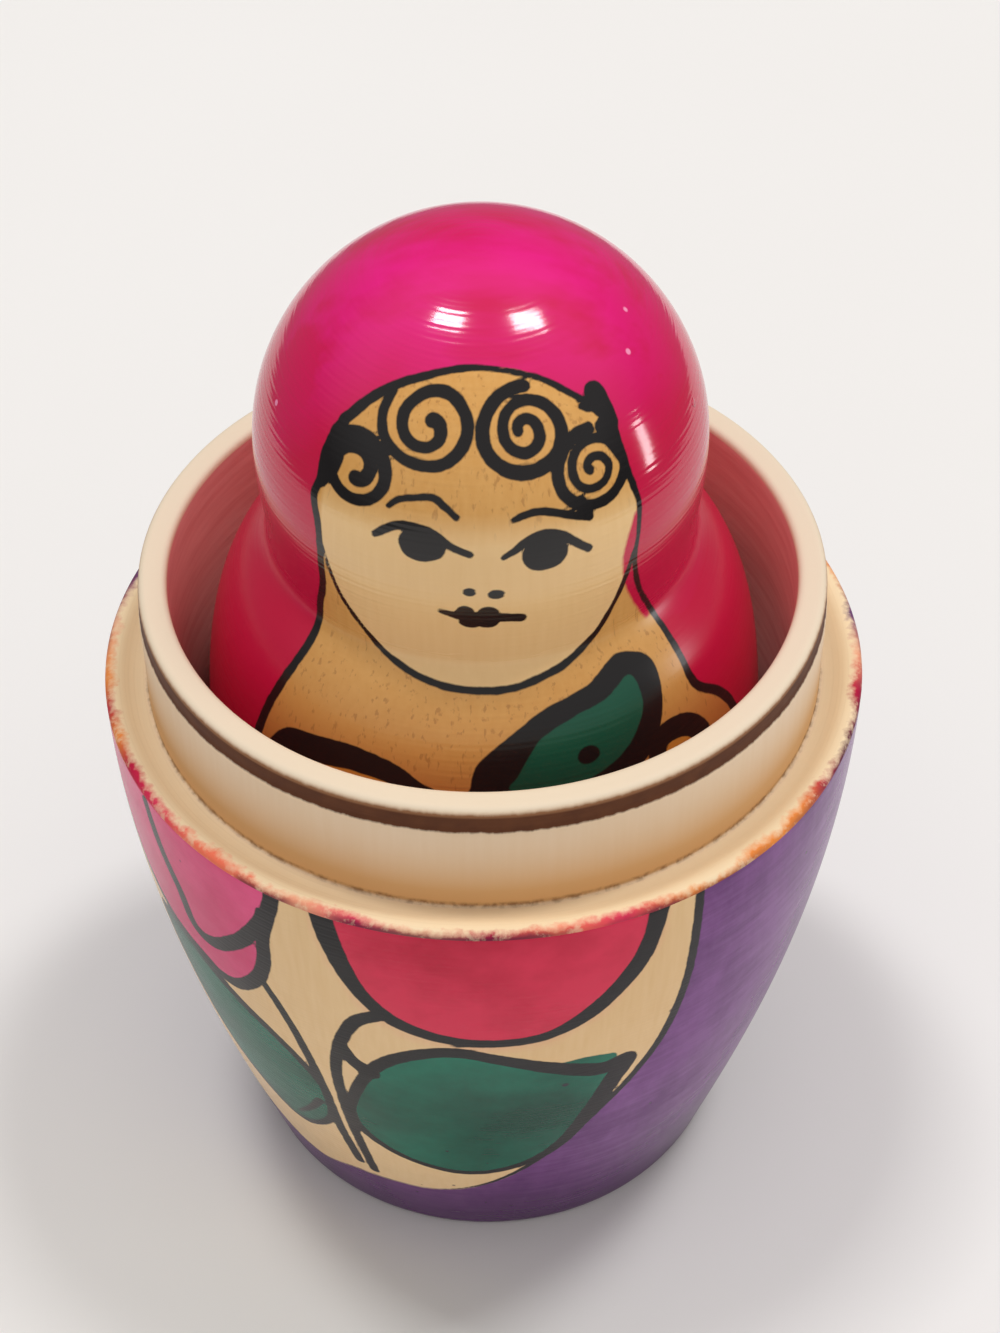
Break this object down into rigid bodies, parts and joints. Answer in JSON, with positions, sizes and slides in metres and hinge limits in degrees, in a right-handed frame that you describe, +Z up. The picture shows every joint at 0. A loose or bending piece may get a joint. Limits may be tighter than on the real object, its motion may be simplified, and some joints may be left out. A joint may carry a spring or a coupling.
{
  "type": "matryoshka nesting doll",
  "caption": "Turned wooden nesting doll in a folk style: an open lower half with a collar holds the next painted doll, which parts at its middle over smaller dolls inside.",
  "frame": {"origin": "centre of the flat foot of the outer lower half", "axes": "+Z up along the turning axis, the painted faces look towards -Y, +X to the viewer's right"},
  "size_m": [0.066, 0.066, 0.0974],
  "materials": {
    "purple_stain": "purple dye over turned wood with bare wood on the collar, worn lacquer",
    "crimson_lacquer": "crimson dye under glossy lacquer, bare wood on the collar",
    "magenta_lacquer": "magenta dye under glossy lacquer",
    "purple_lacquer": "purple dye under glossy lacquer"
  },
  "bodies": {
    "outer_lower_half": {"outer_lower_half": "purple_stain"},
    "second_lower_half": {"second_lower_half": "crimson_lacquer"},
    "second_upper_half": {"second_upper_half": "magenta_lacquer"},
    "third_lower_half": {"third_lower_half": "magenta_lacquer"},
    "third_upper_half": {"third_upper_half": "purple_lacquer"},
    "fourth_lower_half": {"fourth_lower_half": "crimson_lacquer"},
    "fourth_upper_half": {"fourth_upper_half": "magenta_lacquer"},
    "fifth_lower_half": {"fifth_lower_half": "magenta_lacquer"},
    "fifth_upper_half": {"fifth_upper_half": "purple_lacquer"},
    "sixth_doll": {"sixth_doll": "magenta_lacquer"}
  },
  "joints": [
    {"name": "second_doll_lift", "type": "slide", "parent": "outer_lower_half", "child": "second_lower_half", "axis": [0, 0, 1], "range_m": [0, 0.065]},
    {"name": "second_doll_open", "type": "slide", "parent": "second_lower_half", "child": "second_upper_half", "axis": [0, 0, 1], "range_m": [0, 0.2237]},
    {"name": "third_doll_lift", "type": "slide", "parent": "second_lower_half", "child": "third_lower_half", "axis": [0, 0, 1], "range_m": [0, 0.0472]},
    {"name": "third_doll_open", "type": "slide", "parent": "third_lower_half", "child": "third_upper_half", "axis": [0, 0, 1], "range_m": [0, 0.1424]},
    {"name": "fourth_doll_lift", "type": "slide", "parent": "third_lower_half", "child": "fourth_lower_half", "axis": [0, 0, 1], "range_m": [0, 0.0355]},
    {"name": "fourth_doll_open", "type": "slide", "parent": "fourth_lower_half", "child": "fourth_upper_half", "axis": [0, 0, 1], "range_m": [0, 0.0812]},
    {"name": "fifth_doll_lift", "type": "slide", "parent": "fourth_lower_half", "child": "fifth_lower_half", "axis": [0, 0, 1], "range_m": [0, 0.0268]},
    {"name": "fifth_doll_open", "type": "slide", "parent": "fifth_lower_half", "child": "fifth_upper_half", "axis": [0, 0, 1], "range_m": [0, 0.035]},
    {"name": "sixth_doll_lift", "type": "slide", "parent": "fifth_lower_half", "child": "sixth_doll", "axis": [0, 0, 1], "range_m": [0, 0.0204]}
  ],
  "couplings": [
    {"joint": "third_doll_lift", "follows": "second_doll_open", "ratio": 0.2109},
    {"joint": "third_doll_open", "follows": "second_doll_open", "ratio": 0.63635},
    {"joint": "fourth_doll_lift", "follows": "second_doll_open", "ratio": 0.15866},
    {"joint": "fourth_doll_open", "follows": "second_doll_open", "ratio": 0.36286},
    {"joint": "fifth_doll_lift", "follows": "second_doll_open", "ratio": 0.1197},
    {"joint": "fifth_doll_open", "follows": "second_doll_open", "ratio": 0.15613},
    {"joint": "sixth_doll_lift", "follows": "second_doll_open", "ratio": 0.09096}
  ]
}
